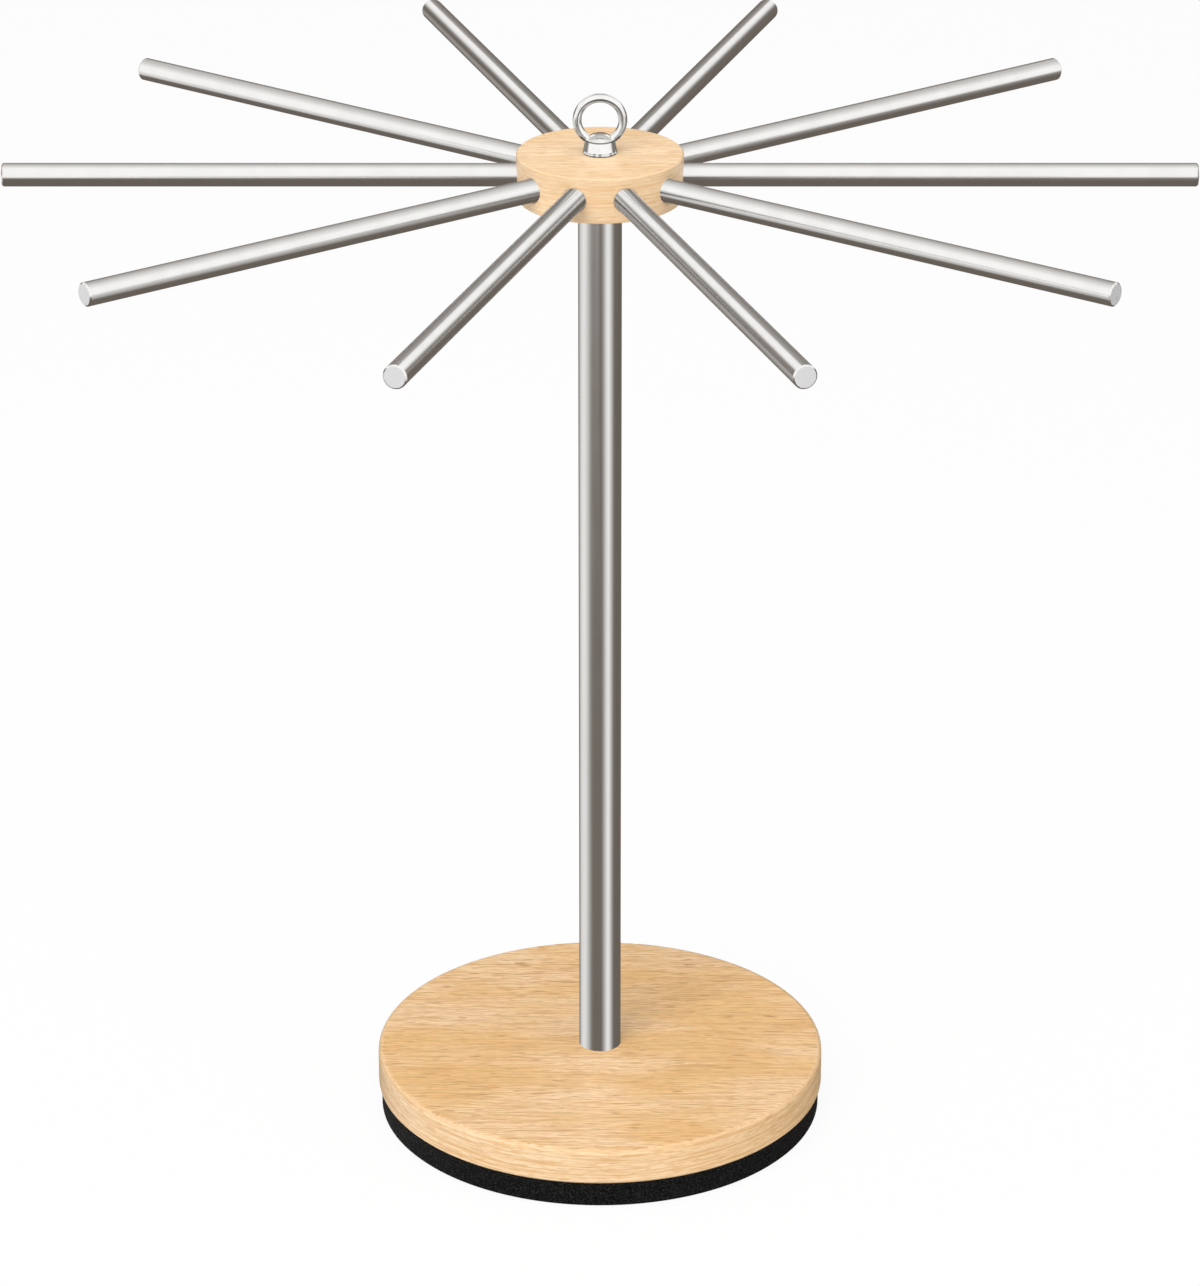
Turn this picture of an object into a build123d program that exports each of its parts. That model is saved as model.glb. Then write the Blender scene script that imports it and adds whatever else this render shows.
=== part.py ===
# Pasta drying rack: steel rods round an oak hub, on a pole whose base turns on a ball bearing.
# Millimetres, +Z up. The origin is on the table, in line with the pole.

from build123d import *

import os

os.makedirs("parts", exist_ok=True)

# Rods
rod_count = 10
rod_diameter = 8.0
rod_reach = 203.0  # from the pole's axis to a rod's tip
rod_end_chamfer = 0.5
rod_start = 16.2  # from the pole's axis to a rod's inner end

# Hub
hub_radius = 28.5
hub_thickness = 15.8
hub_edge_chamfer = 0.5
hub_seat_depth = 3.0  # how far the pole stands into the hub
socket_clearance = 0.04  # round a rod, a push fit
socket_floor_gap = 0.3  # between a rod's inner end and the bottom of its socket
socket_mouth_chamfer = 0.4

# Pole
pole_diameter = 15.0
pole_wall = 1.2
pole_end_chamfer = 0.3
rods_above_base = 333.1  # from the top of the base to the axes of the rods
seat_clearance = 0.05  # round the pole in its two seats

# Base disc
base_radius = 80.95
base_thickness = 13.5
base_top_edge_radius = 2.0
base_bottom_edge_chamfer = 0.8
base_seat_depth = 3.0  # how far the pole stands into the base

# Foot disc
foot_inset = 1.05  # from the base disc's rim to the foot disc's
foot_thickness = 9.0
foot_edge_chamfer = 0.5
foot_access_radius = 13.0  # hole for reaching the pole bolt from below
turning_gap = 0.4  # between the foot disc and the base disc

# Coring pockets in the underside of the foot disc
core_wall = 3.45  # round the bearing's pocket
core_width = 10.0
core_roof = 2.9  # left above each of these pockets
core_rib_width = 2.5
core_rib_count = 12
core_corner_radius = 1.5

# Non-slip ring
pad_inset = 2.9  # from the foot disc's rim
pad_width = 14.0
pad_thickness = 1.8
pad_proud = 0.3  # how far the ring stands out of its recess
pad_clearance = 0.1
pad_edge_chamfer = 0.3

# Bearing
ball_diameter = 3.5
ball_count = 12
ball_circle_radius = 40.0
ball_clearance = 0.05  # between a ball and either groove
race_gap = 1.6  # between the two races, where the cage runs
race_lip = 0.5  # least wall over or under a groove
race_edge_chamfer = 0.3
race_floor_gap = 0.6  # under the inner race
race_top_gap = 0.1  # from the top of the outer race to the top of the foot disc
race_clearance = 0.05  # round a race in its pocket
outer_race_width = 6.2
inner_race_width = 9.2
inner_race_recess = 1.0  # how far the inner race stands into the base
cage_thickness = 0.8
cage_edge = 0.57  # over and under each ball's pocket
cage_pocket_clearance = 0.08

# Countersunk screws of both races
screw_diameter = 3.0
screw_head_diameter = 5.6
screw_head_rim = 0.2
screw_count = 4
screw_tip_chamfer = 0.5
screw_recess_width = 0.9
screw_recess_span = 3.0
screw_recess_depth = 1.1
screw_clearance = 0.02
screw_tip_gap = 0.5
outer_screw_length = 8.0
inner_screw_length = 12.0

# Pole bolt and its washer
bolt_diameter = 6.0
bolt_length = 16.0
bolt_head_diameter = 10.5
bolt_head_height = 3.3
bolt_head_crown = 1.6  # how much of the head's height is domed
bolt_socket_width = 4.0
bolt_socket_depth = 2.0
bolt_head_recess = 0.6  # from the underside of the base to the head
bolt_pocket_clearance = 1.0  # round the washer
bolt_hole_clearance = 0.25
bolt_tip_chamfer = 0.6
washer_diameter = 12.0
washer_thickness = 1.6
washer_edge_chamfer = 0.2

# Plugs in the ends of the pole
plug_length = 15.0
plug_clearance = 0.02
plug_edge_chamfer = 0.5
thread_clearance = 0.02
thread_tip_gap = 0.6

# Stud
stud_diameter = 5.0
stud_depth = 9.5  # length of stud inside the top plug
stud_tip_chamfer = 0.5
stud_hole_clearance = 0.25

# Eye nut and its captive washer
nut_height = 6.1
nut_foot_radius = 5.65
nut_foot_height = 0.4
nut_neck_radius = 5.0
nut_shoulder_height = 3.9  # from the nut's seat to where its crown begins
nut_shoulder_radius = 0.8
nut_roof = 1.2  # left above the bore
nut_bore_gap = 0.3  # above the tip of the stud
nut_bore_clearance = 0.04
nut_mouth_chamfer = 0.3
eye_outer_radius = 9.25
eye_thickness = 3.0
eye_root_height = 1.5  # from the nut's seat to the lowest point of the eye, inside the boss
eye_root_radius = 0.5  # where the eye runs into the boss
spigot_radius = 3.6
spigot_length = 0.6
spigot_lip = 0.25
spigot_lip_height = 0.25
spigot_clearance = 0.06
eye_washer_radius = 5.8
eye_washer_thickness = 0.8
eye_washer_chamfer = 0.45

cut_overrun = 1.0

# Levels, from the table up
foot_bottom = pad_proud
foot_top = foot_bottom + foot_thickness
base_bottom = foot_top + turning_gap
base_top = base_bottom + base_thickness
rod_level = base_top + rods_above_base
hub_bottom = rod_level - hub_thickness / 2
hub_top = rod_level + hub_thickness / 2
pole_bottom = base_top - base_seat_depth
pole_top = hub_bottom + hub_seat_depth
nut_seat = hub_top + eye_washer_thickness
eye_level = nut_seat + eye_root_height + eye_outer_radius

# Levels in the bearing, from the top down
groove_radius = ball_diameter / 2 + ball_clearance
outer_race_top = foot_top - race_top_gap
ball_level = outer_race_top - race_lip - groove_radius
inner_race_bottom = ball_level - groove_radius - race_lip
pocket_floor = inner_race_bottom - race_floor_gap
inner_race_top = base_bottom + inner_race_recess
cage_height = ball_diameter + 2 * (cage_pocket_clearance + cage_edge)

# Levels in the pole's fastenings
bolt_head_bottom = base_bottom + bolt_head_recess
bolt_head_top = bolt_head_bottom + bolt_head_height
bolt_pocket_top = bolt_head_top + washer_thickness
bolt_tip = bolt_head_top + bolt_length
stud_bottom = pole_top - stud_depth
nut_bore_top = nut_seat + nut_height - nut_roof
stud_top = nut_bore_top - nut_bore_gap
crown_rise = nut_height - nut_shoulder_height

# Radii in the bearing, with each ring of screws midway between a groove and its race's far side
outer_race_bore_radius = ball_circle_radius + race_gap / 2
outer_race_radius = outer_race_bore_radius + outer_race_width
outer_screw_circle_radius = (ball_circle_radius + groove_radius + outer_race_radius) / 2
inner_race_radius = ball_circle_radius - race_gap / 2
inner_race_bore_radius = inner_race_radius - inner_race_width
inner_screw_circle_radius = (ball_circle_radius - groove_radius + inner_race_bore_radius) / 2

# Radii of the foot disc and the ring in it
foot_radius = base_radius - foot_inset
foot_pocket_radius = outer_race_radius + race_clearance
core_inner_radius = foot_pocket_radius + core_wall
core_outer_radius = core_inner_radius + core_width
pad_outer_radius = foot_radius - pad_inset
pad_inner_radius = pad_outer_radius - pad_width

# Radii that several pieces share
rod_radius = rod_diameter / 2
pole_radius = pole_diameter / 2
plug_radius = pole_radius - pole_wall - plug_clearance
bolt_radius = bolt_diameter / 2
stud_radius = stud_diameter / 2
screw_radius = screw_diameter / 2
bolt_pocket_radius = washer_diameter / 2 + bolt_pocket_clearance
crown_radius = (nut_neck_radius**2 + crown_rise**2) / (2 * crown_rise)


def countersunk_screw(length):
    """One screw on the Z axis, its head's flat face at zero and its tip up."""
    head_radius = screw_head_diameter / 2
    head_height = screw_head_rim + head_radius - screw_radius
    with BuildPart() as screw:
        with BuildSketch(Plane.XZ):
            with BuildLine():
                Polyline(
                    (0, 0),
                    (head_radius, 0),
                    (head_radius, screw_head_rim),
                    (screw_radius, head_height),
                    (screw_radius, length - screw_tip_chamfer),
                    (screw_radius - screw_tip_chamfer, length),
                    (0, length),
                    close=True,
                )
            make_face()
        revolve(axis=Axis.Z)
        with BuildSketch():
            Rectangle(screw_recess_span, screw_recess_width)
            Rectangle(screw_recess_width, screw_recess_span)
        extrude(amount=screw_recess_depth, mode=Mode.SUBTRACT)
    return screw.part


def screw_seat(depth):
    """The hole for one such screw, as a solid to cut away, with its countersink at zero."""
    head_radius = screw_head_diameter / 2 + screw_clearance
    hole_radius = screw_radius + screw_clearance
    head_height = screw_head_rim + head_radius - hole_radius
    with BuildPart() as seat:
        with BuildSketch(Plane.XZ):
            with BuildLine():
                Polyline(
                    (0, -cut_overrun),
                    (head_radius, -cut_overrun),
                    (head_radius, screw_head_rim),
                    (hole_radius, head_height),
                    (hole_radius, depth),
                    (0, depth),
                    close=True,
                )
            make_face()
        revolve(axis=Axis.Z)
    return seat.part


outer_screw_seat = screw_seat(outer_screw_length + screw_tip_gap)
inner_screw_seat = screw_seat(inner_screw_length + screw_tip_gap)

# Non-slip ring, the only piece that touches the table
with BuildPart() as nonslip_ring:
    with BuildSketch():
        Circle(pad_outer_radius)
        Circle(pad_inner_radius, mode=Mode.SUBTRACT)
    extrude(amount=pad_thickness)
    chamfer(nonslip_ring.edges().group_by(Axis.Z)[0], pad_edge_chamfer)
nonslip_ring.part.label = "nonslip_ring"
export_step(nonslip_ring.part, "parts/nonslip_ring.step")

# Foot disc, which stays still: bearing pocket above, ring recess and coring pockets below
with BuildPart() as foot_disc:
    with BuildSketch(Plane.XY.offset(foot_bottom)):
        Circle(foot_radius)
    extrude(amount=foot_thickness)
    chamfer(foot_disc.edges().filter_by(GeomType.CIRCLE), foot_edge_chamfer)
    with BuildSketch(Plane.XY.offset(pocket_floor)):
        Circle(foot_pocket_radius)
    extrude(amount=foot_top - pocket_floor, mode=Mode.SUBTRACT)
    with BuildSketch(Plane.XY.offset(foot_bottom)):
        Circle(pad_outer_radius + pad_clearance)
        Circle(pad_inner_radius - pad_clearance, mode=Mode.SUBTRACT)
    extrude(amount=pad_thickness - pad_proud, mode=Mode.SUBTRACT)
    with BuildSketch(Plane.XY.offset(foot_bottom)) as core:
        Circle(core_outer_radius)
        Circle(core_inner_radius, mode=Mode.SUBTRACT)
        with PolarLocations(core_outer_radius, core_rib_count):
            Rectangle(2 * core_outer_radius, core_rib_width, mode=Mode.SUBTRACT)
        fillet(core.vertices(), core_corner_radius)
    extrude(amount=foot_thickness - core_roof, mode=Mode.SUBTRACT)
    with BuildSketch(Plane.XY.offset(foot_bottom)):
        Circle(foot_access_radius)
    extrude(amount=foot_thickness, mode=Mode.SUBTRACT)
    with Locations((0, 0, foot_bottom)):
        with PolarLocations(outer_screw_circle_radius, screw_count):
            add(outer_screw_seat, mode=Mode.SUBTRACT)
foot_disc.part.label = "foot_disc"
export_step(foot_disc.part, "parts/foot_disc.step")

# Outer race, screwed down into the foot's pocket, with its groove facing inward
with BuildPart() as outer_race:
    with BuildSketch(Plane.XZ) as race_section:
        with Locations((outer_race_bore_radius, pocket_floor)):
            Rectangle(
                outer_race_radius - outer_race_bore_radius,
                outer_race_top - pocket_floor,
                align=(Align.MIN, Align.MIN),
            )
        chamfer(race_section.vertices().group_by(Axis.X)[-1], race_edge_chamfer)
        with Locations((ball_circle_radius, ball_level)):
            Circle(groove_radius, mode=Mode.SUBTRACT)
    revolve(axis=Axis.Z)
    with Locations((0, 0, foot_bottom)):
        with PolarLocations(outer_screw_circle_radius, screw_count):
            add(outer_screw_seat, mode=Mode.SUBTRACT)
outer_race.part.label = "outer_race"
export_step(outer_race.part, "parts/outer_race.step")

# Inner race, screwed up under the base, with its groove facing outward
with BuildPart() as inner_race:
    with BuildSketch(Plane.XZ) as race_section:
        with Locations((inner_race_bore_radius, inner_race_bottom)):
            Rectangle(
                inner_race_radius - inner_race_bore_radius,
                inner_race_top - inner_race_bottom,
                align=(Align.MIN, Align.MIN),
            )
        chamfer(race_section.vertices().group_by(Axis.X)[0], race_edge_chamfer)
        with Locations((ball_circle_radius, ball_level)):
            Circle(groove_radius, mode=Mode.SUBTRACT)
    revolve(axis=Axis.Z)
    with Locations((0, 0, inner_race_bottom)):
        with PolarLocations(inner_screw_circle_radius, screw_count):
            add(inner_screw_seat, mode=Mode.SUBTRACT)
inner_race.part.label = "inner_race"
export_step(inner_race.part, "parts/inner_race.step")

# Balls, in the grooves of both races
with BuildPart() as bearing_balls:
    with Locations((0, 0, ball_level)):
        with PolarLocations(ball_circle_radius, ball_count):
            Sphere(ball_diameter / 2)
bearing_balls.part.label = "bearing_balls"
export_step(bearing_balls.part, "parts/bearing_balls.step")

# Cage, a thin band between the races with a round pocket for each ball
with BuildPart() as ball_cage:
    with BuildSketch(Plane.XY.offset(ball_level - cage_height / 2)):
        Circle(ball_circle_radius + cage_thickness / 2)
        Circle(ball_circle_radius - cage_thickness / 2, mode=Mode.SUBTRACT)
    extrude(amount=cage_height)
    with Locations((0, 0, ball_level)):
        with PolarLocations(ball_circle_radius, ball_count):
            Cylinder(
                ball_diameter / 2 + cage_pocket_clearance,
                cage_thickness + 2 * cut_overrun,
                rotation=(0, 90, 0),
                mode=Mode.SUBTRACT,
            )
ball_cage.part.label = "ball_cage"
export_step(ball_cage.part, "parts/ball_cage.step")

# Screws of the outer race, up through the foot
with BuildPart() as outer_race_screws:
    with Locations((0, 0, foot_bottom)):
        with PolarLocations(outer_screw_circle_radius, screw_count):
            add(countersunk_screw(outer_screw_length))
outer_race_screws.part.label = "outer_race_screws"
export_step(outer_race_screws.part, "parts/outer_race_screws.step")

# Screws of the inner race, up into the base
with BuildPart() as inner_race_screws:
    with Locations((0, 0, inner_race_bottom)):
        with PolarLocations(inner_screw_circle_radius, screw_count):
            add(countersunk_screw(inner_screw_length))
inner_race_screws.part.label = "inner_race_screws"
export_step(inner_race_screws.part, "parts/inner_race_screws.step")

# Base disc: seat for the pole above, recess for the inner race and pocket for the bolt below
with BuildPart() as base_disc:
    with BuildSketch(Plane.XY.offset(base_bottom)):
        Circle(base_radius)
    extrude(amount=base_thickness)
    fillet(base_disc.edges().group_by(Axis.Z)[-1], base_top_edge_radius)
    chamfer(base_disc.edges().group_by(Axis.Z)[0], base_bottom_edge_chamfer)
    with BuildSketch(Plane.XY.offset(pole_bottom)):
        Circle(pole_radius + seat_clearance)
    extrude(amount=base_seat_depth, mode=Mode.SUBTRACT)
    with BuildSketch(Plane.XY.offset(base_bottom)):
        Circle(inner_race_radius + race_clearance)
        Circle(inner_race_bore_radius - race_clearance, mode=Mode.SUBTRACT)
    extrude(amount=inner_race_recess, mode=Mode.SUBTRACT)
    with BuildSketch(Plane.XY.offset(base_bottom)):
        Circle(bolt_pocket_radius)
    extrude(amount=bolt_pocket_top - base_bottom, mode=Mode.SUBTRACT)
    with BuildSketch(Plane.XY.offset(base_bottom)):
        Circle(bolt_radius + bolt_hole_clearance)
    extrude(amount=base_thickness, mode=Mode.SUBTRACT)
    with Locations((0, 0, inner_race_bottom)):
        with PolarLocations(inner_screw_circle_radius, screw_count):
            add(inner_screw_seat, mode=Mode.SUBTRACT)
base_disc.part.label = "base_disc"
export_step(base_disc.part, "parts/base_disc.step")

# Washer of the pole bolt
with BuildPart() as bolt_washer:
    with BuildSketch(Plane.XY.offset(bolt_head_top)):
        Circle(washer_diameter / 2)
        Circle(bolt_radius + bolt_hole_clearance, mode=Mode.SUBTRACT)
    extrude(amount=washer_thickness)
    washer_rims = bolt_washer.edges().filter_by(GeomType.CIRCLE).sort_by(SortBy.RADIUS)
    chamfer(washer_rims[-2:], washer_edge_chamfer)
bolt_washer.part.label = "bolt_washer"
export_step(bolt_washer.part, "parts/bolt_washer.step")

# Pole bolt, button-headed, up through the base into the pole's bottom plug
with BuildPart() as pole_bolt:
    with BuildSketch(Plane.XZ):
        with BuildLine():
            crown_edge = (bolt_head_diameter / 2, bolt_head_bottom + bolt_head_crown)
            crown_top = (bolt_head_diameter / 2 - bolt_head_crown, bolt_head_bottom)
            RadiusArc(crown_top, crown_edge, -bolt_head_crown)
            Polyline(
                crown_edge,
                (bolt_head_diameter / 2, bolt_head_top),
                (bolt_radius, bolt_head_top),
                (bolt_radius, bolt_tip - bolt_tip_chamfer),
                (bolt_radius - bolt_tip_chamfer, bolt_tip),
                (0, bolt_tip),
                (0, bolt_head_bottom),
                crown_top,
            )
        make_face()
    revolve(axis=Axis.Z)
    with BuildSketch(Plane.XY.offset(bolt_head_bottom)):
        RegularPolygon(bolt_socket_width / 2, 6, major_radius=False)
    extrude(amount=bolt_socket_depth, mode=Mode.SUBTRACT)
pole_bolt.part.label = "pole_bolt"
export_step(pole_bolt.part, "parts/pole_bolt.step")

# Bottom plug of the pole, threaded for the bolt
with BuildPart() as pole_bottom_plug:
    with BuildSketch(Plane.XY.offset(pole_bottom)):
        Circle(plug_radius)
    extrude(amount=plug_length)
    chamfer(pole_bottom_plug.edges().group_by(Axis.Z)[-1], plug_edge_chamfer)
    with BuildSketch(Plane.XY.offset(pole_bottom)):
        Circle(bolt_radius + thread_clearance)
    extrude(amount=bolt_tip - pole_bottom + thread_tip_gap, mode=Mode.SUBTRACT)
pole_bottom_plug.part.label = "pole_bottom_plug"
export_step(pole_bottom_plug.part, "parts/pole_bottom_plug.step")

# Pole, a tube that stands in the base and carries the hub
with BuildPart() as pole_tube:
    with BuildSketch(Plane.XY.offset(pole_bottom)):
        Circle(pole_radius)
        Circle(pole_radius - pole_wall, mode=Mode.SUBTRACT)
    extrude(amount=pole_top - pole_bottom)
    tube_rims = pole_tube.edges().filter_by(GeomType.CIRCLE).sort_by(SortBy.RADIUS)
    chamfer(tube_rims[-2:], pole_end_chamfer)
pole_tube.part.label = "pole_tube"
export_step(pole_tube.part, "parts/pole_tube.step")

# Top plug of the pole, threaded for the stud
with BuildPart() as pole_top_plug:
    with BuildSketch(Plane.XY.offset(pole_top - plug_length)):
        Circle(plug_radius)
    extrude(amount=plug_length)
    chamfer(pole_top_plug.edges().group_by(Axis.Z)[0], plug_edge_chamfer)
    with BuildSketch(Plane.XY.offset(stud_bottom - thread_tip_gap)):
        Circle(stud_radius + thread_clearance)
    extrude(amount=stud_depth + thread_tip_gap, mode=Mode.SUBTRACT)
pole_top_plug.part.label = "pole_top_plug"
export_step(pole_top_plug.part, "parts/pole_top_plug.step")

# Stud, from the top plug up through the hub into the eye nut
with BuildPart() as hub_stud:
    with BuildSketch(Plane.XY.offset(stud_bottom)):
        Circle(stud_radius)
    extrude(amount=stud_top - stud_bottom)
    chamfer(hub_stud.edges().filter_by(GeomType.CIRCLE), stud_tip_chamfer)
hub_stud.part.label = "hub_stud"
export_step(hub_stud.part, "parts/hub_stud.step")

# Hub, with a blind socket in its rim for each rod and a seat for the pole below
with BuildPart() as hub:
    with BuildSketch(Plane.XY.offset(hub_bottom)):
        Circle(hub_radius)
    extrude(amount=hub_thickness)
    chamfer(hub.edges().filter_by(GeomType.CIRCLE), hub_edge_chamfer)
    with BuildSketch(Plane.XY.offset(hub_bottom)):
        Circle(pole_radius + seat_clearance)
    extrude(amount=hub_seat_depth, mode=Mode.SUBTRACT)
    with BuildSketch(Plane.XY.offset(hub_bottom)):
        Circle(stud_radius + stud_hole_clearance)
    extrude(amount=hub_thickness, mode=Mode.SUBTRACT)
    with Locations((0, 0, rod_level)):
        with PolarLocations(rod_start - socket_floor_gap, rod_count):
            Cylinder(
                rod_radius + socket_clearance,
                hub_radius - rod_start + socket_floor_gap + cut_overrun,
                rotation=(0, 90, 0),
                align=(Align.CENTER, Align.CENTER, Align.MIN),
                mode=Mode.SUBTRACT,
            )
    chamfer(hub.edges().filter_by(GeomType.BSPLINE), socket_mouth_chamfer)
hub.part.label = "hub"
export_step(hub.part, "parts/hub.step")

# Rods, all alike, each with its inner end in a socket of the hub
for index in range(rod_count):
    outward = Vector(1, 0, 0).rotate(Axis.Z, index * 360 / rod_count)
    rod_axis = Plane(origin=(0, 0, rod_level), x_dir=(0, 0, 1), z_dir=outward)
    rod_name = f"rod_{index + 1}"
    with BuildPart() as rod:
        with BuildSketch(rod_axis.offset(rod_start)):
            Circle(rod_radius)
        extrude(amount=rod_reach - rod_start)
        chamfer(rod.edges().filter_by(GeomType.CIRCLE), rod_end_chamfer)
    rod.part.label = rod_name
    export_step(rod.part, f"parts/{rod_name}.step")

# Washer that the eye nut carries on its spigot, chamfered below to clear the spigot's lip
with BuildPart() as eye_washer:
    with BuildSketch(Plane.XY.offset(hub_top)):
        Circle(eye_washer_radius)
        Circle(spigot_radius + spigot_clearance, mode=Mode.SUBTRACT)
    extrude(amount=eye_washer_thickness)
    washer_rims = eye_washer.edges().filter_by(GeomType.CIRCLE).sort_by(SortBy.RADIUS)
    chamfer(washer_rims[-2:], washer_edge_chamfer)
    chamfer(washer_rims[:2].sort_by(Axis.Z)[0], eye_washer_chamfer)
eye_washer.part.label = "eye_washer"
export_step(eye_washer.part, "parts/eye_washer.step")

# Eye nut: a domed boss with a swaged spigot below, and a lifting eye that runs into the boss
with BuildPart() as eye_nut:
    with BuildSketch(Plane.XZ) as nut_section:
        with BuildLine():
            shoulder = (nut_neck_radius, nut_seat + nut_shoulder_height)
            crown_top = (0, nut_seat + nut_height)
            spigot_end = nut_seat - spigot_length
            Polyline(
                crown_top,
                (0, spigot_end),
                (spigot_radius + spigot_lip, spigot_end),
                (spigot_radius, spigot_end + spigot_lip_height),
                (spigot_radius, nut_seat),
                (nut_foot_radius, nut_seat),
                (nut_foot_radius, nut_seat + nut_foot_height),
                shoulder,
            )
            RadiusArc(shoulder, crown_top, -crown_radius)
        make_face()
        shoulder_corner = nut_section.vertices().filter_by_position(Axis.X, nut_neck_radius, nut_neck_radius)
        fillet(shoulder_corner, nut_shoulder_radius)
    revolve(axis=Axis.Z)
    with Locations((0, 0, eye_level)):
        Torus(eye_outer_radius - eye_thickness / 2, eye_thickness / 2, rotation=(90, 0, 0))
    fillet(eye_nut.edges(Select.NEW), eye_root_radius)
    with BuildSketch(Plane.XY.offset(spigot_end)):
        Circle(stud_radius + nut_bore_clearance)
    extrude(amount=nut_bore_top - spigot_end, mode=Mode.SUBTRACT)
    mouth = eye_nut.edges().group_by(Axis.Z)[0].sort_by(SortBy.RADIUS)[0]
    chamfer(mouth, nut_mouth_chamfer)
eye_nut.part.label = "eye_nut"
export_step(eye_nut.part, "parts/eye_nut.step")
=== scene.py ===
# %% [markdown]
# # A pasta drying rack, dressed in Blender
#
# The rack is a small machine. An oak disc turns on a black foot, a brushed steel pole stands on the
# disc, and an oak hub on top of the pole holds ten steel rods, like spokes. A polished eye nut holds
# the hub down and lifts the whole rack.
#
# Its shapes come from a CAD model, so this lesson is about finishes: what each surface is, how light
# tells us so, and how a few nodes can say the same. Every length is in metres unless its name says
# otherwise.

# %% Load the CAD frame
import math

import bmesh
import bpy
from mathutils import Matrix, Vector


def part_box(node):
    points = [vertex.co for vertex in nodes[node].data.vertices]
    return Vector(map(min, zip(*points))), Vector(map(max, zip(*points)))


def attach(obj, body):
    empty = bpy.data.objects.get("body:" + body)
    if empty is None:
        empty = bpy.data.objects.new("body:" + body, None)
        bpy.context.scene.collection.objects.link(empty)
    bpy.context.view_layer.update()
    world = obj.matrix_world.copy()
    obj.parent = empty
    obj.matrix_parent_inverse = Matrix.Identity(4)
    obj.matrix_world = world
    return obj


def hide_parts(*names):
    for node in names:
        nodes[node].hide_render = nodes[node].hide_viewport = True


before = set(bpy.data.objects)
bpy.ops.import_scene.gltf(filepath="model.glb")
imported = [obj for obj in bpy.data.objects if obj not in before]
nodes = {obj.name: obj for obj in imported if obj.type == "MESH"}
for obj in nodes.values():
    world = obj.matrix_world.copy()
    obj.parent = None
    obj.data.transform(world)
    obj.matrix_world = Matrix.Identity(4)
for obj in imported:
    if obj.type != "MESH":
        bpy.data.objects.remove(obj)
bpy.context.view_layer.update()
scene = bpy.context.scene

# %% [markdown]
# ## The camera
#
# A photograph's perspective fixes two things: how long the lens is, and where it stood. Both were
# solved from the ten rod tips, which lie on a circle. The lens is long, so the far rods are nearly as
# large as the near ones. Blender wants the focal length in millimetres on its own sensor, and one ratio
# turns pixels into that.

# %% Camera
FRAME_HEIGHT_PIXELS = 1286
FOCAL_LENGTH_PIXELS = 5127.2
SENSOR_MM = 36.0
CAMERA_ELEVATION = math.radians(23.82)
CAMERA_DISTANCE = 1.811
AIM_BELOW_RODS = 0.1738

rod_low, rod_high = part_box("rod_1")
rod_level = (rod_low.z + rod_high.z) / 2
aim = Vector((0, 0, rod_level - AIM_BELOW_RODS))
backward = Vector((0, -math.cos(CAMERA_ELEVATION), math.sin(CAMERA_ELEVATION)))

camera = bpy.data.objects.new("camera", bpy.data.cameras.new("camera"))
camera.data.sensor_width = SENSOR_MM
camera.data.lens = FOCAL_LENGTH_PIXELS / FRAME_HEIGHT_PIXELS * SENSOR_MM
camera.location = aim + backward * CAMERA_DISTANCE
camera.rotation_euler = (-backward).to_track_quat("-Z", "Y").to_euler()
scene.collection.objects.link(camera)
scene.camera = camera
scene.view_settings.view_transform = "Standard"
print("lens", round(camera.data.lens, 2), "mm")

# %% [markdown]
# ## Shader maths as Python
#
# A finish is a sum of patterns: a bit of grain, plus a few pores, times a colour. In the node editor
# each plus sign is a box with wires, and twenty of them are hard to read. So this small class stands
# for one output socket, and Python's own operators add the boxes. `1 - mask` then reads as it would on
# paper.
#
# Numbers go through Math nodes and vectors through Vector Math. Colours are mixed by a Mix node
# instead, because a Math node would turn them grey.

# %% A socket with operators
class Field:
    """A value that changes over a surface: one output socket, on which Python's operators work."""

    def __init__(self, recipe, output):
        self.recipe = recipe
        self.output = output

    def sibling(self, name):
        """Another output of the same node."""
        return Field(self.recipe, self.output.node.outputs[name])

    def worked(self, operation, *terms):
        """The node that does one operation, on vectors if any term is one and on numbers if none is."""
        if any(isinstance(term, tuple) or getattr(term, "is_vector", False) for term in terms):
            kind = "ShaderNodeVectorMath"
            terms = [term if isinstance(term, (tuple, Field)) else (term, term, term) for term in terms]
        else:
            kind = "ShaderNodeMath"
        return self.recipe.node(kind, {"operation": operation}, dict(enumerate(terms)))

    @property
    def is_vector(self):
        return self.output.type == "VECTOR"

    def __add__(self, other):
        return self.worked("ADD", self, other)

    def __radd__(self, other):
        return self.worked("ADD", other, self)

    def __sub__(self, other):
        return self.worked("SUBTRACT", self, other)

    def __rsub__(self, other):
        return self.worked("SUBTRACT", other, self)

    def __mul__(self, other):
        return self.worked("MULTIPLY", self, other)

    def __rmul__(self, other):
        return self.worked("MULTIPLY", other, self)

    def __truediv__(self, other):
        return self.worked("DIVIDE", self, other)

    def __abs__(self):
        return self.worked("ABSOLUTE", self)

    def length(self):
        """The length of a vector, as a number."""
        return self.recipe.node("ShaderNodeVectorMath", {"operation": "LENGTH"}, {0: self}, output="Value")

    def rise(self, low, high, shape="SMOOTHSTEP"):
        """0 below low, 1 above high, and a smooth rise between them, or a straight one if shape is LINEAR."""
        limits = {"Value": self, "From Min": low, "From Max": high}
        return self.recipe.node("ShaderNodeMapRange", {"interpolation_type": shape}, limits)


print("operators ready")

# %% [markdown]
# ### A recipe of nodes
#
# A recipe holds the nodes of one material, or of the world. Its first method adds any node. It sets the
# node up before it fills the sockets, because some nodes change their sockets with their settings. The
# other methods are short names for nodes that come up again and again.

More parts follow.
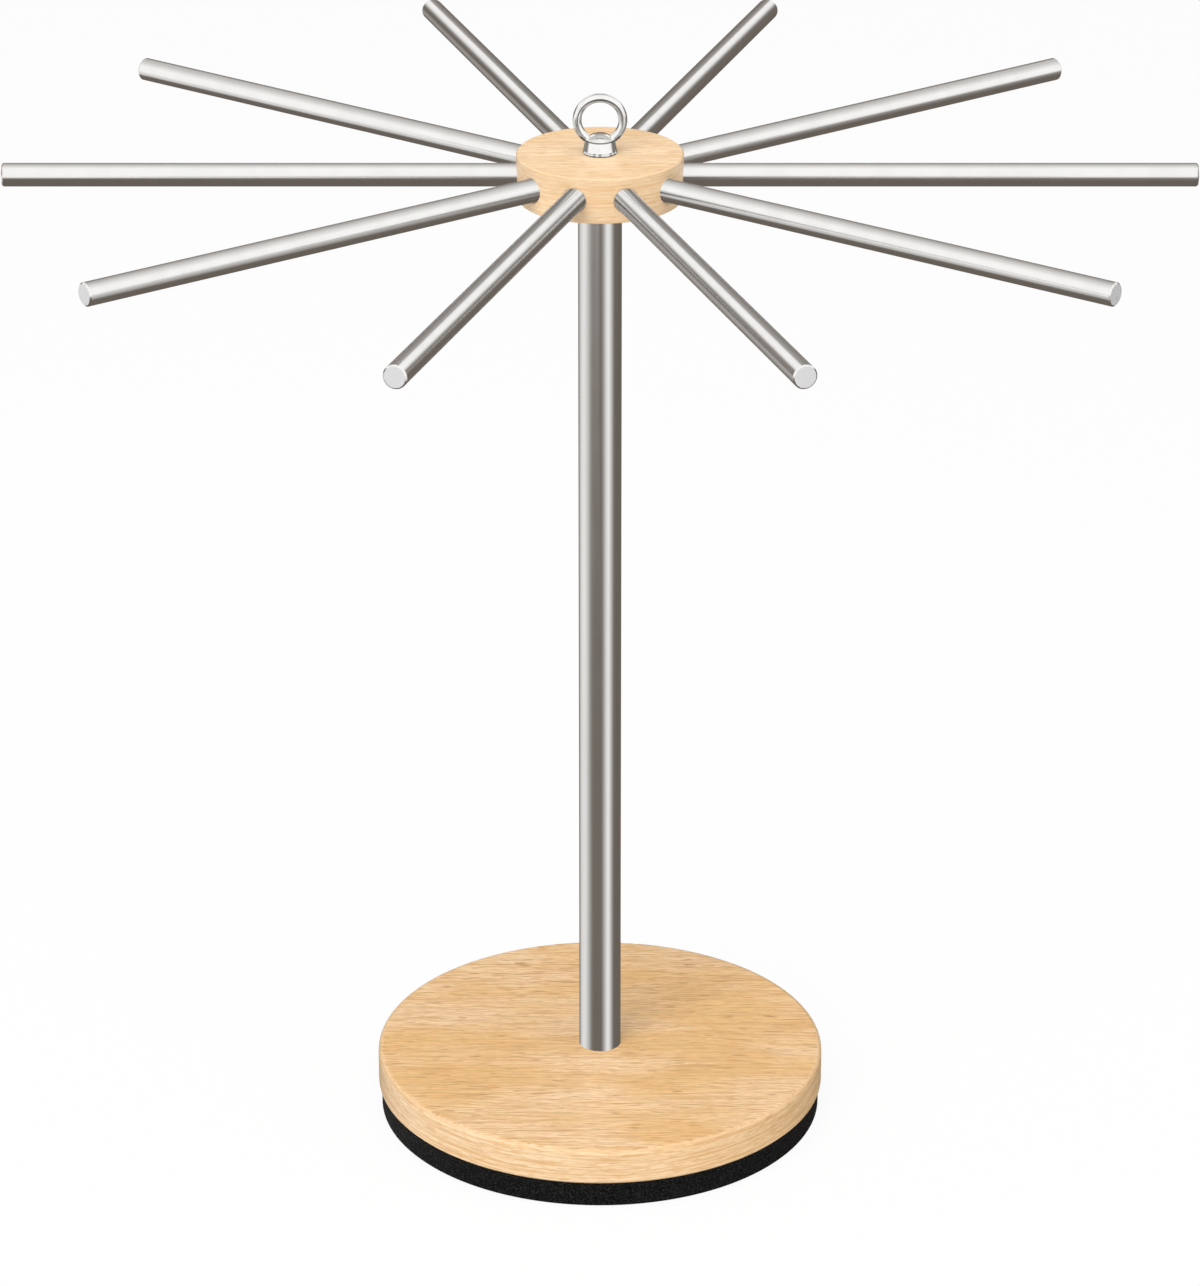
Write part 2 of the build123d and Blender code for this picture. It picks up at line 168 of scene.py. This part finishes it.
# %% Recipe
class Recipe:
    """The nodes of one material, or of the world."""

    def __init__(self, tree):
        self.tree = tree
        tree.nodes.clear()

    def node(self, kind, settings=None, inputs=None, output=0):
        """Add any node: set it up first, then fill its sockets with values or links."""
        made = self.tree.nodes.new(kind)
        for name, value in (settings or {}).items():
            setattr(made, name, value)
        for name, value in (inputs or {}).items():
            if isinstance(value, Field):
                self.tree.links.new(value.output, made.inputs[name])
            else:
                made.inputs[name].default_value = value
        return Field(self, made.outputs[output]) if made.outputs else None

    def noise(self, where, detail=2.0, roughness=0.5):
        """Smooth random values about 0.5, with one bump or so for each unit of where."""
        look = {"Vector": where, "Scale": 1.0, "Detail": detail, "Roughness": roughness}
        return self.node("ShaderNodeTexNoise", {}, look)

    def blend(self, amount, first, second):
        """The first colour where amount is 0, the second where it is 1."""
        return self.node("ShaderNodeMix", {"data_type": "RGBA"}, {0: amount, 6: first, 7: second}, output=2)

    def bump(self, height, depth):
        """A normal that makes the surface look as if height, from 0 to 1, were that deep."""
        return self.node("ShaderNodeBump", {}, {"Height": height, "Distance": depth, "Strength": 1.0})

    def surface(self, inputs):
        """The last step: one Principled shader with these inputs."""
        shader = self.node("ShaderNodeBsdfPrincipled", {}, inputs)
        self.node("ShaderNodeOutputMaterial", {}, {"Surface": shader})


print("recipes ready")

# %% [markdown]
# ### Colours and places
#
# A screen stores its colours on a curve, and a shader works without that curve. `paint` takes a colour
# as a screen shows it and undoes the curve. Places come in millimetres, so a ruler on the real rack can
# check the size of every pattern below.

# %% Colours and places
def paint(red, green, blue):
    """The linear colour that shows as this one, each channel from 0 to 255."""
    channels = [value / 255 for value in (red, green, blue)]
    linear = [c / 12.92 if c <= 0.04045 else ((c + 0.055) / 1.055) ** 2.4 for c in channels]
    return (*linear, 1.0)


def new_material(name):
    material = bpy.data.materials.new(name)
    material.use_nodes = True
    return material, Recipe(material.node_tree)


def millimetres(recipe):
    """Where a point is on the piece, in millimetres, so that a ruler can measure a pattern's sizes."""
    return recipe.node("ShaderNodeTexCoord", {}, {}, output="Object") * 1000


def split(vector):
    """The X, Y and Z of a vector, as three numbers."""
    x = vector.recipe.node("ShaderNodeSeparateXYZ", {}, {"Vector": vector}, output="X")
    return x, x.sibling("Y"), x.sibling("Z")


def join(recipe, x, y, z):
    """Three numbers as one vector."""
    return recipe.node("ShaderNodeCombineXYZ", {}, {"X": x, "Y": y, "Z": z})


print("a grey of 128 is", round(paint(128, 128, 128)[0], 3), "to a shader")

# %% [markdown]
# ## A white floor that keeps a shadow
#
# The photograph's background is pure white. A white floor under plain light never quite gets there, and
# more light would burn out the oak. Light Path gives a way round: to the camera, and only to it, most
# of the floor glows at exactly white. The rest is still paper that takes the rack's shadow, so the rack
# doesn't float.

# %% Floor
FLOOR_HALF_WIDTH = 20.0
FLOOR_GLOW_SHARE = 0.92
PAPER = (0.93, 0.93, 0.93, 1.0)
WHITE = (1.0, 1.0, 1.0, 1.0)

material, paper = new_material("paper_floor")
seen_directly = paper.node("ShaderNodeLightPath", {}, {}, output="Is Camera Ray")
sheet_shader = paper.node("ShaderNodeBsdfDiffuse", {}, {"Color": PAPER})
glow = paper.node("ShaderNodeEmission", {}, {"Color": WHITE, "Strength": 1.0})
mixed = paper.node("ShaderNodeMixShader", {}, {0: seen_directly * FLOOR_GLOW_SHARE, 1: sheet_shader, 2: glow})
paper.node("ShaderNodeOutputMaterial", {}, {"Surface": mixed})

floor_mesh = bpy.data.meshes.new("floor")
signs = [(-1, -1), (1, -1), (1, 1), (-1, 1)]
corners = [(x * FLOOR_HALF_WIDTH, y * FLOOR_HALF_WIDTH, 0) for x, y in signs]
floor_mesh.from_pydata(corners, [], [(0, 1, 2, 3)])
floor_mesh.materials.append(material)
floor = bpy.data.objects.new("floor", floor_mesh)
floor.visible_glossy = False
scene.collection.objects.link(floor)
print("floor at", floor.location.z)

# %% [markdown]
# ## A studio for metal to look at
#
# Polished metal has no colour of its own: it shows the room. Its bright and dark bands in the
# photograph are a map of that room. A level rod mirrors one slice of it, from low behind the rack, over
# the top, to low in front, and the upright pole mirrors a ring of it just below the horizon. Read back,
# the room has
#
# - a white ceiling that fades evenly towards the back wall and ends a little below the horizon in
#   front, lower on the left than on the right;
# - two white windows in the back wall, one on each side of its middle, which light the ridges of the
#   rods that point towards us;
# - a broad pale screen on the left and a narrow white one in front on the right, which both reach down
#   to the edge of the table;
# - darkness everywhere else.
#
# The world here is that room for reflections, white for the camera, and a plain pale grey for
# everything else, so it adds no coloured light to the oak.

# %% Surroundings
CEILING_FADE = (5.0, 100.0)  # degrees over the rack, from the back horizon to just past the top
WINDOW_SIDE = (8.0, 17.0)  # degrees to either side of straight back, where a window starts
WINDOW_SILL = (8.0, 20.0)  # degrees above the horizon
WINDOW_TOP = (32.0, 44.0)  # the same, where it ends
FRONT_EDGE = -10.5  # degrees above the horizon, where the ceiling ends in front
FRONT_EDGE_TILT = 0.5  # how much further it comes down for each degree to the left
FRONT_EDGE_REACH = 7.0  # degrees to either side, where the tilt ends
FRONT_EDGE_BLUR = 6.5
LEFT_SCREEN = (-136.0, -64.0)  # degrees round the rack from the front, left is negative
LEFT_SCREEN_BLUR = 27.0
LEFT_SCREEN_SHARE = 0.8
RIGHT_SCREEN = (27.0, 62.0)
RIGHT_SCREEN_BLUR = 23.0
SCREEN_FEET = (-40.0, -30.0)  # degrees above the horizon, where the screens fade out below
ROOM_WHITE = (1.16, 1.16, 1.16, 1.0)
ROOM_DARK = (0.165, 0.142, 0.122, 1.0)
FILL_GREY = (0.45, 0.45, 0.45, 1.0)


def between(value, limits, blur):
    """1 inside the limits and 0 outside, with blurred edges."""
    low, high = limits
    return value.rise(low - blur, low + blur) * (1 - value.rise(high - blur, high + blur))


world = bpy.data.worlds.new("studio")
world.use_nodes = True
scene.world = world
room = Recipe(world.node_tree)
toward_x, toward_y, toward_z = split(room.node("ShaderNodeTexCoord", {}, {}, output="Generated"))
round_rack = toward_x.worked("ARCTAN2", toward_x, toward_y * -1) * math.degrees(1)
over_rack = toward_z.worked("ARCTAN2", toward_z, toward_y) * math.degrees(1)
above_level = toward_z.worked("ARCSINE", toward_z) * math.degrees(1)

beside_front = round_rack.worked("MAXIMUM", round_rack, -FRONT_EDGE_REACH)
tilt = beside_front.worked("MINIMUM", beside_front, FRONT_EDGE_REACH)
above_edge = above_level - tilt * FRONT_EDGE_TILT - FRONT_EDGE
window_height = above_level.rise(*WINDOW_SILL) * (1 - above_level.rise(*WINDOW_TOP))
windows = (180 - abs(round_rack)).rise(*WINDOW_SIDE) * window_height
fade = abs(over_rack).rise(*CEILING_FADE, shape="LINEAR")
ceiling = fade.worked("MAXIMUM", fade, windows) * above_edge.rise(-FRONT_EDGE_BLUR, FRONT_EDGE_BLUR)
left_screen = between(round_rack, LEFT_SCREEN, LEFT_SCREEN_BLUR) * LEFT_SCREEN_SHARE
right_screen = between(round_rack, RIGHT_SCREEN, RIGHT_SCREEN_BLUR)
below_edge = 1 - above_edge.rise(-FRONT_EDGE_BLUR, FRONT_EDGE_BLUR)
low_screens = (left_screen + right_screen) * below_edge * above_level.rise(*SCREEN_FEET)

light_path = room.node("ShaderNodeLightPath", {}, {}, output="Is Camera Ray")
mirrored = light_path.sibling("Is Glossy Ray") + light_path.sibling("Is Transmission Ray")
seen_in_metal = room.blend(ceiling + low_screens, ROOM_DARK, ROOM_WHITE)
seen_by_light = room.blend(mirrored, FILL_GREY, seen_in_metal)
room_colour = room.blend(light_path, seen_by_light, WHITE)
background = room.node("ShaderNodeBackground", {}, {"Color": room_colour, "Strength": 1.0})
room.node("ShaderNodeOutputWorld", {}, {"Surface": background})
print("world", world.name)

# %% [markdown]
# ## Lamps
#
# Big lamps near a small thing give soft shadows with no hard edge, as a photographer's softboxes do.
# The key lamp is in front on the left, so the rim of the base is a little brighter than its top. One
# overhead lamp draws a soft shadow under the hub and rods, and a weak one on the right opens that side
# up.
#
# A lamp's power spreads over the square of its distance, so each one is written as the share of full
# daylight that it gives to a surface that faces it, and the power is worked out from that.

# %% Lamps
def softbox(name, turn, elevation, distance, width, share):
    """A square lamp aimed at the middle of the rack, turn and elevation in degrees, as seen from the rack."""
    lamp = bpy.data.lights.new(name, "AREA")
    lamp.size = width
    lamp.energy = share * (math.pi * distance) ** 2
    where = bpy.data.objects.new(name, lamp)
    turn, elevation = math.radians(turn), math.radians(elevation)
    outward = Vector((math.sin(turn), -math.cos(turn), math.tan(elevation))).normalized()
    where.location = aim + outward * distance
    where.rotation_euler = outward.to_track_quat("Z", "Y").to_euler()
    where.visible_glossy = False
    scene.collection.objects.link(where)


softbox("key_lamp", turn=-28, elevation=34, distance=4.0, width=2.6, share=0.53)
softbox("overhead_lamp", turn=0, elevation=80, distance=1.9, width=1.5, share=0.45)
softbox("right_lamp", turn=62, elevation=22, distance=2.2, width=1.0, share=0.09)

# %% [markdown]
# ## Oak
#
# Oak is told from other woods by its streaks. They are worked out from a point's place in the piece
# rather than painted on as a flat picture, so each piece can be cut out of another part of the board.
# From large to small they are
#
# - bands, about as long as a finger, which shade the board from pale to honey;
# - fibres, long thin streaks that run left to right on the flat faces;
# - threads, finer and shorter, which keep the wood from looking smooth close up;
# - dashes, the few dark pores.
#
# A slow drift and a quicker ripple push them all sideways a little, since no tree grows along a ruler.
# On the rim the streaks run round the edge instead, as they do on the real rack. The rim also carries a
# painted shade: it is pale on the left and turns halfway to honey on the right. The normal's upward part
# tells the rim from the flat faces, and shows where the eased edge turns from one to the other. There the
# streaks fade, a painted highlight, and the tone is pulled a little towards the pore colour, a painted shade.
#
# Noise stays close to a half, so a streak is cut out of it with a narrow rise: a wide one leaves only
# mist. The streaks also lie a few hundredths of a millimetre deep under a satin lacquer. The lacquer is
# the shader's coat, which is smoother than the wood below it.

# %% Oak patterns
DRIFT = (60, 30)  # millimetres along the grain and across it, for each pattern
RIPPLE = (14, 6)
BANDS = (60, 22)
FIBRES = (32, 0.8)
THREADS = (4.5, 0.5)
DASHES = (7, 0.6)
STREAK_DEPTH = 0.00004


def drawn_out(x, y, z, size, detail, roughness=0.5):
    """Noise drawn out along X, with marks of that length and width."""
    length, width = size
    return x.recipe.noise(join(x.recipe, x / length, y / width, z / width), detail, roughness)


print("fibres", FIBRES, "mm")

# %% Oak
def lacquered_oak(name, offset, pale, honey, edge, streak, pore, contrast):
    """Solid oak with its grain along X. offset, in millimetres, picks a place in the board.

    pale, honey and edge are the tones of its bands and its rim, streak and pore the darker ones. A
    painted shade takes the rim from edge on the left halfway to honey on the right.
    """
    material, wood = new_material(name)
    x, y, z = split(millimetres(wood) + offset)
    facing = split(wood.node("ShaderNodeTexCoord", {}, {}, output="Normal"))
    upright = abs(facing[2])
    rim = 1 - upright.rise(0.45, 0.95)
    eased_edge = rim * (1 - rim) * 4
    # Painted highlight: the streaks fade on the eased edge, as if washed out by the gloss it catches.
    highlight_streak_share = 1 - eased_edge * 0.5

    drift = drawn_out(x, y, z, DRIFT, 1.0) - 0.5
    ripple = drawn_out(x, y, z, RIPPLE, 1.0) - 0.5
    y_bent = y + drift * 6 + ripple * 2
    z_bent = z + drift * 2 + ripple * 0.4

    def streaks(size, detail, roughness=0.5):
        """Streaks along X on the flat faces, and along the edge on the rim."""
        length, width = size
        flat = drawn_out(x, y_bent, z_bent, size, detail, roughness)
        round_rim = wood.noise(join(wood, x / length, y / length, z_bent / width), detail, roughness)
        return flat * (1 - rim) + round_rim * rim

    bands = drawn_out(x, y_bent, z_bent, BANDS, 2.0).rise(0.36, 0.64)
    fibres = streaks(FIBRES, 2.0, roughness=0.6).rise(0.44, 0.64)
    threads = streaks(THREADS, 1.0)
    dashes = streaks(DASHES, 0.0).rise(0.66, 0.74)

    colour = wood.blend(bands, honey, pale)
    # Painted shade: the rim is pale on the left and turns halfway to honey towards the right.
    rim_with_painted_shade = wood.blend(facing[0].rise(-0.2, 0.9) * 0.5, edge, honey)
    colour = wood.blend((1 - upright.rise(0.8, 0.99)) * 0.8, colour, rim_with_painted_shade)
    # Painted shade: the eased edge is pulled a little towards the pore colour, to hold back the light it
    # catches.
    colour = wood.blend(eased_edge * 0.12, colour, pore)
    colour = wood.blend(fibres * highlight_streak_share * (0.6 * contrast), colour, streak)
    colour = wood.blend(threads.rise(0.46, 0.66) * highlight_streak_share * (0.48 * contrast), colour, streak)
    colour = wood.blend(dashes * (1 - rim * 0.6) * (0.5 * contrast), colour, pore)
    height = threads * 0.4 - fibres * 0.3 - dashes * 0.6
    wood.surface(
        {
            "Base Color": colour,
            "Roughness": 0.46 + fibres * 0.08,
            "Normal": wood.bump(height, STREAK_DEPTH),
            "Specular IOR Level": 0.3,
            "Coat Weight": 0.5,
            "Coat Roughness": 0.16,
        }
    )
    return material


print("oak can be cut")

# %% [markdown]
# ### Base and hub
#
# Both discs are of this oak. They are cut far apart in the board, so that no streak of one turns up in the
# other. The hub is the calmer of the two, and its paler tones are painted light, for the brighter light
# that falls on the hub.

# %% Two boards
base_oak = lacquered_oak(
    "oak_base",
    (40.0, 15.0, 3.0),
    pale=paint(254, 218, 174),
    honey=paint(246, 200, 138),
    edge=paint(242, 213, 173),
    streak=paint(220, 170, 110),
    pore=paint(178, 128, 78),
    contrast=1.15,
)
# Painted light: the hub's paler tones stand for the brighter light on it.
hub_oak = lacquered_oak(
    "oak_hub",
    (310.0, 140.0, 30.0),
    pale=paint(254, 225, 186),
    honey=paint(251, 216, 171),
    edge=paint(236, 205, 165),
    streak=paint(228, 181, 128),
    pore=paint(196, 146, 98),
    contrast=0.95,
)
print("oak ready")

# %% [markdown]
# ## Satin rods
#
# Bright bar is ground between two wheels, which leaves hair-fine rings round it. One finish can serve
# all ten rods, because each points straight away from the pole. The distance from the pole is then also
# the distance along the rod, and a noise that reads only that distance draws rings on every rod.
#
# The ends are cut on a lathe, so their marks are circles round the rod's own axis. The nearest multiple
# of 36 degrees says which rod a point is on, and from there it is plane geometry. In the photograph the
# cut ends are an even pale grey, since their marks scatter the light instead of mirroring the room.
# Less metal and more roughness there say the same.

# %% Satin steel
ROD_COUNT = sum(name.startswith("rod_") for name in nodes)
GRINDING_RING = 0.22  # millimetres from one mark to the next
LATHE_RING = 0.16
RING_DEPTH = 0.000004
ROD_LIGHT = paint(232, 231, 229)
ROD_DARK = paint(228, 227, 225)
CUT_END = paint(216, 216, 217)


def satin_steel(name):
    material, steel = new_material(name)
    place = millimetres(steel)
    x, y, z = split(place)
    along = join(steel, x, y, 0.0).length()
    turn = steel.node("ShaderNodeMath", {"operation": "ARCTAN2"}, {0: y, 1: x})
    step = math.tau / ROD_COUNT
    off_axis = turn - turn.worked("ROUND", turn / step) * step
    sideways = along * off_axis.worked("SINE", off_axis)
    upward = z - rod_level * 1000
    from_axis = join(steel, sideways, upward, 0.0).length()

    normal = steel.node("ShaderNodeTexCoord", {}, {}, output="Normal")
    outward = steel.node("ShaderNodeVectorMath", {"operation": "NORMALIZE"}, {0: join(steel, x, y, 0.0)})
    dot = {"operation": "DOT_PRODUCT"}
    facing = steel.node("ShaderNodeVectorMath", dot, {0: normal, 1: outward}, output="Value")
    end = abs(facing).rise(0.85, 0.95)

    rings = steel.noise(join(steel, along / GRINDING_RING, 0.0, 0.0), detail=2.0)
    lathe = steel.noise(join(steel, from_axis / LATHE_RING, 0.0, 0.0), detail=2.0)
    smears = steel.noise(place / 9, detail=3.0)
    height = rings * (1 - end) * 0.3 + lathe * end
    colour = steel.blend(smears.rise(0.35, 0.7), ROD_LIGHT, ROD_DARK)
    steel.surface(
        {
            "Base Color": steel.blend(end, colour, CUT_END),
            "Metallic": 1 - end * 0.75,
            "Roughness": 0.2 + smears * 0.03 + rings * 0.02 + end * 0.3,
            "Normal": steel.bump(height, RING_DEPTH),
        }
    )
    return material


rod_steel = satin_steel("satin_steel")
print(ROD_COUNT, "rods")

# %% [markdown]
# ## Brushed pole
#
# The pole is brushed along its length, so its marks are long upright hairs. They are a noise that
# changes fast round the tube and slowly up it. An angle would be the obvious way round the tube, but it
# jumps where the circle closes. The place on the circle itself, X and Y, has no seam.

# %% Brushed steel
HAIR = (0.16, 45)  # millimetres wide and long
BROAD_MARK = (1.1, 120)
HAIR_DEPTH = 0.000006
POLE_DARK = paint(226, 225, 223)
POLE_LIGHT = paint(233, 232, 230)


def brushed_steel(name):
    material, steel = new_material(name)
    place = millimetres(steel)
    x, y, z = split(place)
    width, length = HAIR
    hairs = steel.noise(join(steel, x / width, y / width, z / length), detail=2.0, roughness=0.6)
    width, length = BROAD_MARK
    broad = steel.noise(join(steel, x / width, y / width, z / length), detail=1.0)
    smears = steel.noise(place / 14, detail=2.0)
    steel.surface(
        {
            "Base Color": steel.blend(broad.rise(0.3, 0.7), POLE_DARK, POLE_LIGHT),
            "Metallic": 1.0,
            "Roughness": 0.15 + hairs * 0.07 + smears * 0.04,
            "Normal": steel.bump(hairs * 0.6 + broad * 0.4, HAIR_DEPTH),
        }
    )
    return material


pole_steel = brushed_steel("brushed_pole")
print("pole ready")

# %% [markdown]
# ## Polished and turned steel
#
# The eye nut is cast, turned and polished, so it is almost a mirror, with a faint waviness left from
# casting. Plugs, stud, races and screws come straight from the machine: circles round the pole's axis,
# and zinc plate on some of them, which is bluer and cloudier than bare steel. One function makes them
# all, and each finish is a few numbers.
#
# The nut has two painted dark lines. One is a painted shade where its cone meets its shoulder. The other
# is a painted contact shadow where its washer meets the wood.

# %% Other steels
CLOUD_TONE = 0.88  # how bright a cloud is beside the clear metal
# Painted shade: the tone of the dark lines painted round the nut.
SHADE_LINE_TONE = paint(60, 58, 56)


def machine_steel(name, tone, shine, cloud, ring_width, ring_depth, painted_shade_lines=()):
    """Steel turned round the pole's axis. shine is its roughness, cloud the part of it that varies.

    ring_width is in millimetres and ring_depth in metres. painted_shade_lines holds, for each painted shade
    line round the piece, its level, half width and outer radius in millimetres.
    """
    material, steel = new_material(name)
    place = millimetres(steel)
    x, y, z = split(place)
    radius = join(steel, x, y, 0.0).length()
    rings = steel.noise(join(steel, radius / ring_width, z / ring_width, 0.0), detail=2.0)
    clouds = steel.noise(place / 3.5, detail=3.0)
    waves = steel.noise(place / 2.2, detail=1.0)
    darker = tuple(CLOUD_TONE * value for value in tone[:3]) + (1.0,)
    colour = steel.blend(clouds.rise(0.4, 0.75), tone, darker)
    # Painted shade: each line darkens the colour in a band round the piece at its level.
    for level, half_width, reach in painted_shade_lines:
        level_with = 1 - abs(z - level).rise(half_width / 2, half_width)
        painted_shade_band = level_with * (1 - radius.rise(reach - 0.1, reach))
        colour = steel.blend(painted_shade_band * 0.8, colour, SHADE_LINE_TONE)
    steel.surface(
        {
            "Base Color": colour,
            "Metallic": 1.0,
            "Roughness": shine + clouds * cloud,
            "Normal": steel.bump(rings * 0.5 + waves, ring_depth),
        }
    )
    return material


print("steel can be turned")

# %% [markdown]
# ### Five steels
#
# Roughness tells them apart: the balls have the least, then the nut, then the turned and the plated
# pieces. The painted shade lines on the nut are measured up from the top of the hub, which is read from
# the CAD frame, so they stay on the nut if the pole gets longer.

# %% Nut, plugs, races and balls
SHOULDER_HEIGHT = 4.7  # millimetres over the hub

hub_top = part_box("hub")[1].z * 1000
# Painted shade under the shoulder, and a painted contact shadow where the washer meets the wood.
shoulder_shade_line = (hub_top + SHOULDER_HEIGHT, 0.3, 5.2)
washer_contact_shadow = (hub_top, 0.45, 6.0)
nut_steel = machine_steel(
    "polished_nut",
    paint(235, 234, 232),
    shine=0.07,
    cloud=0.04,
    ring_width=0.35,
    ring_depth=0.000010,
    painted_shade_lines=[shoulder_shade_line, washer_contact_shadow],
)
turned_steel = machine_steel(
    "turned_steel", paint(212, 211, 208), shine=0.2, cloud=0.12, ring_width=0.25, ring_depth=0.000012
)
zinc_steel = machine_steel(
    "zinc_plate", paint(205, 209, 214), shine=0.24, cloud=0.18, ring_width=0.3, ring_depth=0.000012
)
screw_steel = machine_steel(
    "zinc_screws", paint(200, 203, 208), shine=0.22, cloud=0.2, ring_width=0.2, ring_depth=0.000008
)
ball_steel = machine_steel(
    "bright_balls", paint(232, 232, 233), shine=0.02, cloud=0.01, ring_width=0.5, ring_depth=0.000001
)
print("steels ready")

# %% [markdown]
# ## Black foot, rubber and nylon
#
# The foot comes out of a mould with a fine etched grain, so its black is broken by pinpoint specks,
# half a millimetre across. Noise of that size, cut out with a rise, gives them. They stand proud by a
# twentieth of a millimetre and shine a little more than the black between them. The non-slip ring is
# duller still. The ball cage is natural nylon, a little yellow.

# %% Plastics
def moulded_plastic(name, dark, light, grain, depth, dullness):
    """Plastic with an etched grain, whose specks are grain millimetres wide and depth metres high."""
    material, plastic = new_material(name)
    place = millimetres(plastic)
    specks = plastic.noise(place / grain, detail=1.0).rise(0.43, 0.7)
    scuffs = plastic.noise(place / 25, detail=3.0)
    plastic.surface(
        {
            "Base Color": plastic.blend(specks, dark, light),
            "Roughness": dullness + scuffs * 0.12 - specks * 0.1,
            "Normal": plastic.bump(specks, depth),
            "Specular IOR Level": 0.1,
        }
    )
    return material


black, soot, grey = paint(4, 4, 4), paint(28, 28, 28), paint(40, 40, 40)
cream, pale_cream = paint(226, 221, 206), paint(236, 232, 220)
foot_black = moulded_plastic("moulded_black", black, grey, grain=0.5, depth=0.00005, dullness=0.6)
ring_rubber = moulded_plastic("rubber", soot, grey, grain=0.8, depth=0.00003, dullness=0.78)
cage_nylon = moulded_plastic("nylon", cream, pale_cream, grain=0.6, depth=0.00001, dullness=0.4)
print("plastics ready")

# %% [markdown]
# ## Which piece wears what
#
# A CAD piece keeps its mesh and gets its finish through its material slot. The rods share one.
#
# In the photograph the metal mirrors only the studio and other metal: the foot of the pole stays as
# grey as its top, with none of the oak's brown in it. So wood and plastic are hidden from mirrored
# rays.

# %% Dress the CAD pieces
finishes = {
    "base_disc": base_oak,
    "hub": hub_oak,
    "pole_tube": pole_steel,
    "eye_nut": nut_steel,
    "eye_washer": nut_steel,
    "pole_bottom_plug": turned_steel,
    "pole_top_plug": turned_steel,
    "hub_stud": turned_steel,
    "outer_race": zinc_steel,
    "inner_race": zinc_steel,
    "bolt_washer": zinc_steel,
    "pole_bolt": screw_steel,
    "outer_race_screws": screw_steel,
    "inner_race_screws": screw_steel,
    "bearing_balls": ball_steel,
    "ball_cage": cage_nylon,
    "foot_disc": foot_black,
    "nonslip_ring": ring_rubber,
}
SEEN_IN_METAL = {"pole_tube", "eye_nut", "eye_washer"}
for name, node in nodes.items():
    is_rod = name.startswith("rod_")
    node.material_slots[0].material = rod_steel if is_rod else finishes[name]
    node.visible_glossy = is_rod or name in SEEN_IN_METAL
print("bare:", [name for name, node in nodes.items() if not node.material_slots])

# %% [markdown]
# ## A real thread on the stud
#
# When the eye nut is unscrewed, a few millimetres of stud show under it, and a smooth pin there would
# look wrong. A thread is one ridge wound round a rod. Its outline over one pitch, root, flank, crest
# and flank, is four points, and each column of the mesh is that outline repeated and slid up a little
# further than the last one. After a whole turn it has slid by one pitch, so the last column meets the
# first one step higher.
#
# The column is made too long at both ends and then cut flat, which is how a real stud is made too.

# %% Threaded stud
THREAD_PITCH = 0.0008
THREAD_DEPTH_SHARE = 0.61  # of the pitch
ROOT_SHARE = 0.25  # of the pitch, the flat at the bottom of the groove
CREST_SHARE = 0.125
END_CHAMFER = 0.0005
COLUMNS = 40


def threaded_rod(name, low, high, radius):
    """A rod on the Z axis from low to high, threaded all along, with chamfered ends."""
    flank = (1 - ROOT_SHARE - CREST_SHARE) / 2
    root_radius = radius - THREAD_DEPTH_SHARE * THREAD_PITCH
    outline = [
        (0.0, root_radius),
        (ROOT_SHARE, root_radius),
        (ROOT_SHARE + flank, radius),
        (ROOT_SHARE + flank + CREST_SHARE, radius),
    ]
    turns = math.ceil((high - low) / THREAD_PITCH) + 3
    rows = [(turn + share, reach) for turn in range(turns) for share, reach in outline]

    mesh = bmesh.new()
    columns = []
    for column in range(COLUMNS):
        angle = math.tau * column / COLUMNS
        points = []
        for height, reach in rows:
            z = low + (height - 2 + column / COLUMNS) * THREAD_PITCH
            end_reach = radius - END_CHAMFER + min(z - low, high - z)
            reach = max(min(reach, end_reach), radius / 2)
            points.append(mesh.verts.new((reach * math.cos(angle), reach * math.sin(angle), z)))
        columns.append(points)
    for column, points in enumerate(columns):
        closing = column == COLUMNS - 1
        neighbour = columns[0][len(outline):] if closing else columns[column + 1]
        for row in range(min(len(points), len(neighbour)) - 1):
            mesh.faces.new((points[row], neighbour[row], neighbour[row + 1], points[row + 1]))
    for level, direction in ((low, -1), (high, 1)):
        everything = mesh.verts[:] + mesh.edges[:] + mesh.faces[:]
        bmesh.ops.bisect_plane(
            mesh, geom=everything, plane_co=(0, 0, level), plane_no=(0, 0, direction), clear_outer=True
        )
        open_edges = [edge for edge in mesh.edges if edge.is_boundary]
        rim = [edge for edge in open_edges if abs(edge.verts[0].co.z - level) < THREAD_PITCH / 10]
        bmesh.ops.contextual_create(mesh, geom=rim)
    bmesh.ops.recalc_face_normals(mesh, faces=mesh.faces)

    made = bpy.data.meshes.new(name)
    mesh.to_mesh(made)
    mesh.free()
    piece = bpy.data.objects.new(name, made)
    scene.collection.objects.link(piece)
    return piece


stud_low, stud_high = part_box("hub_stud")
stud = threaded_rod("threaded_stud", stud_low.z, stud_high.z, (stud_high.x - stud_low.x) / 2)
stud.data.materials.append(turned_steel)
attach(stud, "turntable")
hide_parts("hub_stud")
print(stud.name, len(stud.data.polygons), "faces")
